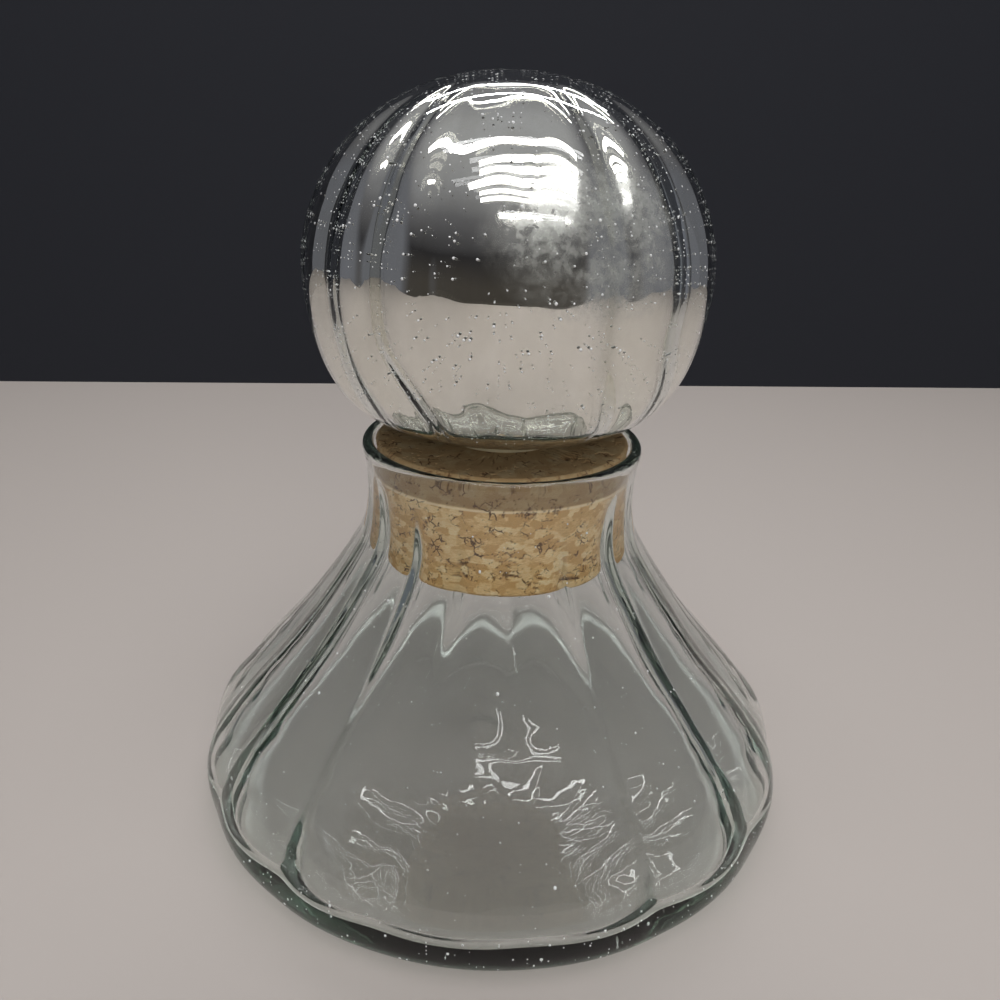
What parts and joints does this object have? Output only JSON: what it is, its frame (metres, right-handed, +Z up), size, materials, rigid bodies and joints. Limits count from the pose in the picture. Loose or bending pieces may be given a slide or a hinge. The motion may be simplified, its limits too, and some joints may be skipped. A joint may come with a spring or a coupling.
{
  "type": "lidded glass canister",
  "caption": "Squat ribbed glass jar with a wide flared skirt and short neck, closed by a tapered cork with a hollow silvered glass ball as its handle.",
  "frame": {"origin": "centre of the jar's foot, in the plane that the foot ring rests on", "axes": "+Z up along the jar's axis, from the foot to the ball's crown; X and Y are horizontal, with a rib's crest on +X"},
  "size_m": [0.2052, 0.2052, 0.2356],
  "materials": {
    "jar_glass": "fire-polished, faint grey-green tint, small seeds",
    "cork": "sanded agglomerated cork, honey granules with dark bark specks",
    "ball_glass": "fire-polished, seedy",
    "silvering": "bright silver seen through glass, worn cloudy in places",
    "plug": "plain moulded",
    "adhesive": "cured clear adhesive, slightly yellowed"
  },
  "bodies": {
    "canister": {"glass_canister": "jar_glass"},
    "stopper": {"cork_stopper": "cork", "glass_ball": "ball_glass", "silver_lining": "silvering", "stem_plug": "plug", "adhesive_collar": "adhesive"}
  },
  "joints": [
    {"name": "stopper_lift", "type": "slide", "parent": "canister", "child": "stopper", "axis": [0, 0, 1], "range_m": [0, 0.1]}
  ]
}
